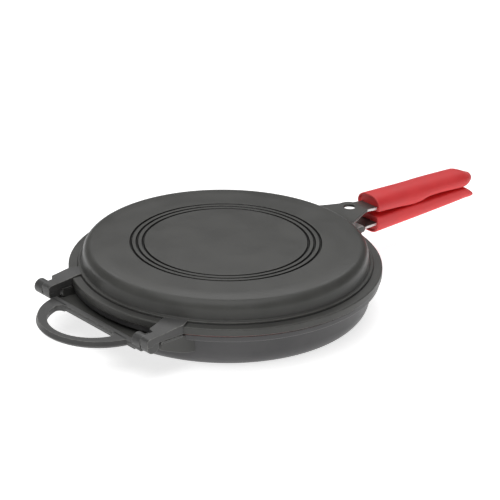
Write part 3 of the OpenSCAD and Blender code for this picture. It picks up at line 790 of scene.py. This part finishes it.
def ramp(tree, value, low, high, to_low=0.0, to_high=1.0):
    """Smooth step of value from low..high to to_low..to_high."""
    return add(tree, "ShaderNodeMapRange", interpolation_type="SMOOTHSTEP", Value=value, i1=low,
               i2=high, i3=to_low, i4=to_high).outputs[0]


def noise(tree, scale, detail=3.0, roughness=0.55):
    """Noise on object coordinates; scale is per metre."""
    where = add(tree, "ShaderNodeTexCoord").outputs["Object"]
    return add(tree, "ShaderNodeTexNoise", Vector=where, Scale=scale, Detail=detail,
               Roughness=roughness).outputs[0]


print("node helpers ready")

# %% Shared effects
grain, g_in, g_out = new_group("moulded_grain", [("Fine", 2600.0), ("Broad", 45.0)],
                               ["Height", "Tone"])
fine = noise(grain, g_in.outputs["Fine"], 2.0, 0.6)
broad = noise(grain, g_in.outputs["Broad"], 4.0, 0.5)
grain.links.new(fine, g_out.inputs["Height"])
grain.links.new(ramp(grain, broad, 0.3, 0.7), g_out.inputs["Tone"])

# Edges come out lighter, partly worn and partly a painted highlight; grooves and creases come out
# darker, as painted shade.
edge_wear_and_painted_light, w_in, w_out = new_group("edge_and_groove", [("From", 0.15), ("To", 0.9), ("Break", 300.0)],
                              ["Edge", "Groove"])
bend = add(edge_wear_and_painted_light, "ShaderNodeAttribute", attribute_name="curvature").outputs["Fac"]
patch = noise(edge_wear_and_painted_light, w_in.outputs["Break"], 3.0)
edge = ramp(edge_wear_and_painted_light, bend, w_in.outputs["From"], w_in.outputs["To"])
edge_wear_and_painted_light.links.new(times(edge_wear_and_painted_light, edge, ramp(edge_wear_and_painted_light, patch, 0.35, 0.65, 0.35, 1.0)), w_out.inputs["Edge"])
edge_wear_and_painted_light.links.new(ramp(edge_wear_and_painted_light, times(edge_wear_and_painted_light, bend, -1.0), 0.1, 0.9), w_out.inputs["Groove"])

turned, t_in, t_out = new_group("turned_rings", [("Pitch", 900.0), ("Inside", 0.114)],
                                ["Height", "Mask"])
where = add(turned, "ShaderNodeTexCoord").outputs["Object"]
split = add(turned, "ShaderNodeSeparateXYZ", Vector=where)
flat = add(turned, "ShaderNodeCombineXYZ", X=split.outputs["X"], Y=split.outputs["Y"])
radius = add(turned, "ShaderNodeVectorMath", operation="LENGTH", i0=flat.outputs[0])
radius = radius.outputs["Value"]
line_1d = add(turned, "ShaderNodeTexNoise", noise_dimensions="1D", W=radius,
              Scale=t_in.outputs["Pitch"], Detail=4.0)
turned.links.new(line_1d.outputs[0], t_out.inputs["Height"])
inside = math_node(turned, "SUBTRACT", t_in.outputs["Inside"], radius)
turned.links.new(ramp(turned, inside, 0.0, 0.003), t_out.inputs["Mask"])
print("effects:", [g.name for g in bpy.data.node_groups])


# %% [markdown]
# ### Non-stick coating
# The castings are sprayed with a dark grey non-stick coat, cured to a satin skin. Close up it has
# a fine pebbled grain and under it the turned lines of the flat faces. Its edges are painted a
# touch lighter, partly worn and partly a painted highlight, and the ring grooves and creases are
# painted dark, as painted shade. On the tangs and the lower lug's pad the spray is masked off,
# and the bare cast metal shows.


# %% Material builders
def new_material(name, base, rough):
    """A material with a Principled shader whose constants are its plain colour and roughness."""
    mat = bpy.data.materials.new(name)
    mat.use_nodes = True
    shader = mat.node_tree.nodes["Principled BSDF"]
    shader.inputs["Base Color"].default_value = (*base, 1)
    shader.inputs["Roughness"].default_value = rough
    return mat, mat.node_tree, shader


def use_group(tree, group, **values):
    """A group node with its inputs set."""
    node = tree.nodes.new("ShaderNodeGroup")
    node.node_tree = group
    for key, value in values.items():
        node.inputs[key].default_value = value
    return node.outputs


def mix_color(tree, factor, first, second):
    """Mix of two colours, each a plain colour or a socket."""
    node = tree.nodes.new("ShaderNodeMix")
    node.data_type = "RGBA"
    tree.links.new(factor, node.inputs["Factor"])
    for socket, value in ((node.inputs[6], first), (node.inputs[7], second)):
        if isinstance(value, bpy.types.NodeSocket):
            tree.links.new(value, socket)
        else:
            socket.default_value = (*value, 1)
    return node.outputs[2]


def bump(tree, height, distance, strength, onto=None):
    """A bump of a height in metres, on top of an earlier one."""
    node = add(tree, "ShaderNodeBump", Height=height, Distance=distance, Strength=strength)
    if onto is not None:
        tree.links.new(onto, node.inputs["Normal"])
    return node.outputs["Normal"]


COAT = (0.07, 0.07, 0.066)
COAT_TONES = ((0.066, 0.066, 0.062), (0.080, 0.080, 0.075))
# Edge colour: partly worn coat, partly a painted highlight.
COAT_WORN_EDGE_AND_HIGHLIGHT = (0.27, 0.265, 0.25)
# Groove colour: painted shade for the ring grooves and creases.
COAT_PAINTED_SHADE = (0.006, 0.006, 0.0055)
BARE_TONES = ((0.88, 0.86, 0.85), (0.95, 0.93, 0.92))
print("coat tones", COAT_TONES, "bare metal", BARE_TONES)


# %% Coats
def coating(name, rings, edge_share, lift=(1, 1, 1)):
    """Sprayed non-stick coat; rings is how strongly turned lines show, edge_share how much lighter
    its edges are (partly worn, partly a painted highlight), and lift makes its red, green and blue
    lighter. Grooves and creases get painted shade."""
    mat, tree, shader = new_material(name, COAT, 0.4)
    shader.inputs["Specular IOR Level"].default_value = 0.32
    g = use_group(tree, grain, Fine=2200.0, Broad=30.0)
    e = use_group(tree, edge_wear_and_painted_light, From=0.12, To=1.0, Break=260.0)
    colour = mix_color(tree, g["Tone"], *(tuple(np.multiply(lift, tone)) for tone in COAT_TONES))
    # Edges lighter: partly worn, partly a painted highlight.
    colour = mix_color(tree, times(tree, e["Edge"], edge_share), colour, COAT_WORN_EDGE_AND_HIGHLIGHT)
    # Painted shade: ring grooves, by their depth, and creases, by their curvature, go dark.
    sunk = add(tree, "ShaderNodeAttribute", attribute_name="sunk").outputs["Fac"]
    shade = math_node(tree, "MAXIMUM", times(tree, e["Groove"], 0.85), ramp(tree, sunk, 0.02, 0.3))
    colour = mix_color(tree, shade, colour, COAT_PAINTED_SHADE)
    tree.links.new(colour, shader.inputs["Base Color"])
    tree.links.new(ramp(tree, g["Tone"], 0.0, 1.0, 0.36, 0.44), shader.inputs["Roughness"])
    normal = bump(tree, g["Height"], 0.00004, 0.5)
    if rings:
        t = use_group(tree, turned, Pitch=1400.0, Inside=0.109)
        normal = bump(tree, times(tree, t["Height"], t["Mask"]), 0.00006, rings, normal)
    tree.links.new(normal, shader.inputs["Normal"])
    return mat


coat_turned = coating("coating_turned", 0.6, 0.35)
# A lighter copy of the coat for the lower bowl: painted light on its walls.
coat_bowl_painted_light = coating("coating_bowl_painted_light", 0.6, 0.35, (1.2, 1.18, 1.28))
coat_plain = coating("coating_cast", 0.0, 0.8, (1.1, 1.1, 1.15))
# Brackets and the pocket floor lie in shade under the rim, so this copy of the coat has almost no
# lighter edge: little painted highlight there.
coat_under = coating("coating_underside", 0.0, 0.08)


def tang_finish(name, pad_from, pad_to, side_from):
    """Coat with bare cast aluminium on top between pad_from and pad_to, and on the sides past
    side_from, all places along X."""
    mat, tree, shader = new_material(name, COAT, 0.4)
    g = use_group(tree, grain, Fine=1500.0, Broad=60.0)
    e = use_group(tree, edge_wear_and_painted_light, From=0.12, To=1.0, Break=260.0)
    where = add(tree, "ShaderNodeTexCoord")
    x = add(tree, "ShaderNodeSeparateXYZ", Vector=where.outputs["Object"]).outputs["X"]
    up = add(tree, "ShaderNodeSeparateXYZ", Vector=where.outputs["Normal"]).outputs["Z"]
    # A ragged edge where the spray's mask ended
    x = math_node(tree, "ADD", x, times(tree, noise(tree, 900.0, 2.0), 0.0008))
    begin = ramp(tree, x, pad_from, pad_from + 0.0008)
    stop = ramp(tree, x, pad_to, pad_to + 0.0008, 1.0, 0.0)
    pad = times(tree, times(tree, begin, stop), ramp(tree, up, 0.3, 0.7))
    upright = ramp(tree, math_node(tree, "ABSOLUTE", up), 0.55, 0.8, 1.0, 0.0)
    sides = times(tree, ramp(tree, x, side_from, side_from + 0.0015), upright)
    bare = math_node(tree, "MAXIMUM", pad, sides)
    coat = mix_color(tree, g["Tone"], *COAT_TONES)
    # Edges a touch lighter: partly worn, partly a painted highlight.
    coat = mix_color(tree, times(tree, e["Edge"], 0.3), coat, COAT_WORN_EDGE_AND_HIGHLIGHT)
    metal = mix_color(tree, g["Tone"], *BARE_TONES)
    tree.links.new(mix_color(tree, bare, coat, metal), shader.inputs["Base Color"])
    tree.links.new(ramp(tree, bare, 0.0, 1.0, 0.0, 0.15), shader.inputs["Metallic"])
    tree.links.new(ramp(tree, bare, 0.0, 1.0, 0.4, 0.46), shader.inputs["Roughness"])
    tree.links.new(bump(tree, g["Height"], 0.00005, 0.5), shader.inputs["Normal"])
    return mat


# The upper tang is coated on top, so its bare pad lies past the end of the part
upper_tang_finish = tang_finish("coating_to_bare_upper", 0.5, 0.6, 0.1610)
lower_tang_finish = tang_finish("coating_to_bare_lower", 0.1397, 0.1570, 0.1585)
print("coats:", [m.name for m in bpy.data.materials if m.name.startswith("coating")])

# %% [markdown]
# ### Silicone, seal, pins and magnets
# Silicone scatters light softly and never shines: a saturated red, a broad roughness and a faint
# velvet sheen. The pins are turned steel, blackened, and the magnets are nickel plated. Pins and
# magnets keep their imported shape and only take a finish.


# %% Silicone and metal
def silicone(name, dark, light, rough):
    """Matt silicone rubber with moulded grain and a faint painted highlight on raised edges."""
    mat, tree, shader = new_material(name, dark, rough)
    shader.inputs["Sheen Weight"].default_value = 0.04
    shader.inputs["Sheen Roughness"].default_value = 0.5
    g = use_group(tree, grain, Fine=1700.0, Broad=38.0)
    e = use_group(tree, edge_wear_and_painted_light, From=0.1, To=0.8, Break=180.0)
    colour = mix_color(tree, g["Tone"], dark, light)
    # Raised edges go a lighter red: a painted highlight.
    colour = mix_color(tree, times(tree, e["Edge"], 0.25), colour, (0.85, 0.22, 0.2))
    tree.links.new(colour, shader.inputs["Base Color"])
    tree.links.new(ramp(tree, g["Tone"], 0.0, 1.0, rough - 0.05, rough + 0.06),
                   shader.inputs["Roughness"])
    tree.links.new(bump(tree, g["Height"], 0.00004, 0.45), shader.inputs["Normal"])
    return mat


grip_red = silicone("silicone_grip", (0.78, 0.042, 0.047), (0.85, 0.052, 0.056), 0.56)
# The seal takes a much darker red than the grips: painted shade, for the recessed seam it lies in.
seal_red_painted_shade = silicone("silicone_seal_painted_shade", (0.28, 0.02, 0.02), (0.33, 0.026, 0.024), 0.58)


def fine_metal(name, base, rough, fine_scale):
    """Turned or plated metal with a fine, slightly uneven grain."""
    mat, tree, shader = new_material(name, base, rough)
    shader.inputs["Metallic"].default_value = 1.0
    g = use_group(tree, grain, Fine=fine_scale, Broad=120.0)
    tree.links.new(mix_color(tree, g["Tone"], base, tuple(0.86 * c for c in base)),
                   shader.inputs["Base Color"])
    tree.links.new(ramp(tree, g["Tone"], 0.0, 1.0, rough, rough + 0.1), shader.inputs["Roughness"])
    tree.links.new(bump(tree, g["Height"], 0.00002, 0.4), shader.inputs["Normal"])
    return mat


pin_metal = fine_metal("pin_steel_blackened", (0.16, 0.16, 0.165), 0.32, 3200.0)
magnet_metal = fine_metal("magnet_nickel", (0.60, 0.59, 0.57), 0.2, 900.0)
print("rubber and metal:", [m.name for m in (grip_red, seal_red_painted_shade, pin_metal, magnet_metal)])

# %% Give each piece its finish
finish_of = {"lower_bowl": coat_bowl_painted_light, "upper_crown": coat_turned, "rim_seal": seal_red_painted_shade,
             "upper_grip": grip_red, "lower_grip": grip_red,
             "upper_lug": upper_tang_finish, "upper_core": upper_tang_finish,
             "lower_lug": lower_tang_finish, "lower_core": lower_tang_finish,
             "near_bracket": coat_under, "far_bracket": coat_under,
             "near_bracket_front": coat_under, "far_bracket_front": coat_under,
             "pocket_floor": coat_under, "far_pocket_corner": coat_under}
for obj in pieces:
    obj.data.materials.clear()
    obj.data.materials.append(finish_of.get(obj.name, coat_plain))
for node, mat in (("near_hinge_pin", pin_metal), ("far_hinge_pin", pin_metal),
                  ("upper_magnet", magnet_metal), ("lower_magnet", magnet_metal)):
    for part_slot in frame["nodes"][node].material_slots:
        part_slot.material = mat
print("finished", len(pieces), "pieces")

# %% [markdown]
# ## Floor, light and camera
# The pan lies on a plain white light table, which brightens its walls from below and leaves almost
# no shadow. One wide softbox hangs overhead, a strip light from behind puts a glint along the
# rims, and a weak fill opens the hinge side. The camera stands where the photograph was taken.

# %% Stage
FLOOR_GLOW, WORLD_GLOW = 0.72, 0.08
floor_mesh = bpy.data.meshes.new("studio_floor")
floor_mesh.from_pydata([(-6, -6, 0), (6, -6, 0), (6, 6, 0), (-6, 6, 0)], [], [(0, 1, 2, 3)])
studio_floor = bpy.data.objects.new("studio_floor", floor_mesh)
bpy.context.scene.collection.objects.link(studio_floor)
floor_mat, _, floor_shader = new_material("light_table", (0.8, 0.8, 0.8), 0.9)
floor_shader.inputs["Emission Color"].default_value = (1, 1, 1, 1)
floor_shader.inputs["Emission Strength"].default_value = FLOOR_GLOW
floor_mesh.materials.append(floor_mat)
studio_floor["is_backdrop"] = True

world = bpy.context.scene.world or bpy.data.worlds.new("studio")
bpy.context.scene.world = world
world.use_nodes = True
world.node_tree.nodes["Background"].inputs["Color"].default_value = (1, 1, 1, 1)
world.node_tree.nodes["Background"].inputs["Strength"].default_value = WORLD_GLOW
bpy.context.scene.view_settings.view_transform = "Standard"


def softbox(name, place_m, target, size, power, tall=None):
    """A rectangular area light that faces a target."""
    light = bpy.data.lights.new(name, "AREA")
    light.shape, light.size, light.size_y, light.energy = "RECTANGLE", size, tall or size, power
    lamp = bpy.data.objects.new(name, light)
    lamp.location = place_m
    to_target = Vector(target) - Vector(place_m)
    lamp.rotation_euler = to_target.to_track_quat("-Z", "Y").to_euler()
    bpy.context.scene.collection.objects.link(lamp)
    print(f"light {name}: {power} W")


softbox("overhead", (-0.3, -0.2, 1.7), (0.0, 0.0, 0.03), 1.8, 20)
softbox("back_strip", (0.72, 0.84, 1.15), (0.0, 0.0, 0.05), 1.6, 8, 0.7)
softbox("fill", (-2.2, -0.4, 0.9), (0.0, 0.0, 0.03), 3.0, 6)

# %% Camera at the photograph's viewpoint
CAM_AZ, CAM_EL, CAM_ROLL = (math.radians(v) for v in (-40.5, 24.508, 0.687))
CAM_DIST, SENSOR_MM = 2.2, 36
FOCAL_PX, SEAM_CENTRE_PX, IMAGE_PX = 2479.4, np.array([225.525, 268.571]), 500
back = np.array([math.sin(CAM_AZ) * math.cos(CAM_EL), -math.cos(CAM_AZ) * math.cos(CAM_EL),
                 math.sin(CAM_EL)])
right = np.array([math.cos(CAM_AZ), math.sin(CAM_AZ), 0.0])
up = np.cross(back, right)
right, up = (math.cos(CAM_ROLL) * right + math.sin(CAM_ROLL) * up,
             math.cos(CAM_ROLL) * up - math.sin(CAM_ROLL) * right)
camera_m = back * CAM_DIST + np.array([0, 0, seam_z * MM])
# Aim at what lies in the middle of the picture, so that no lens shift is needed
off = (IMAGE_PX / 2 - SEAM_CENTRE_PX) / FOCAL_PX
axis = back - off[0] * right + off[1] * up
axis /= np.linalg.norm(axis)
right = right - axis * (right @ axis)
right /= np.linalg.norm(right)
up = np.cross(axis, right)
camera = bpy.data.objects.new("camera", bpy.data.cameras.new("camera"))
camera.data.sensor_width = SENSOR_MM
camera.data.lens = SENSOR_MM * FOCAL_PX / IMAGE_PX
camera.data.clip_end = 50
rows = [[right[i], up[i], axis[i], camera_m[i]] for i in range(3)]
camera.matrix_world = Matrix(rows + [[0, 0, 0, 1]])
bpy.context.scene.collection.objects.link(camera)
bpy.context.scene.camera = camera
print("lens", round(camera.data.lens, 1), "mm at", [round(float(v), 3) for v in camera_m])

# %% The visual box
bpy.context.view_layer.update()
low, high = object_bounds()
print("visual box:", tuple(round(v, 4) for v in low), tuple(round(v, 4) for v in high))
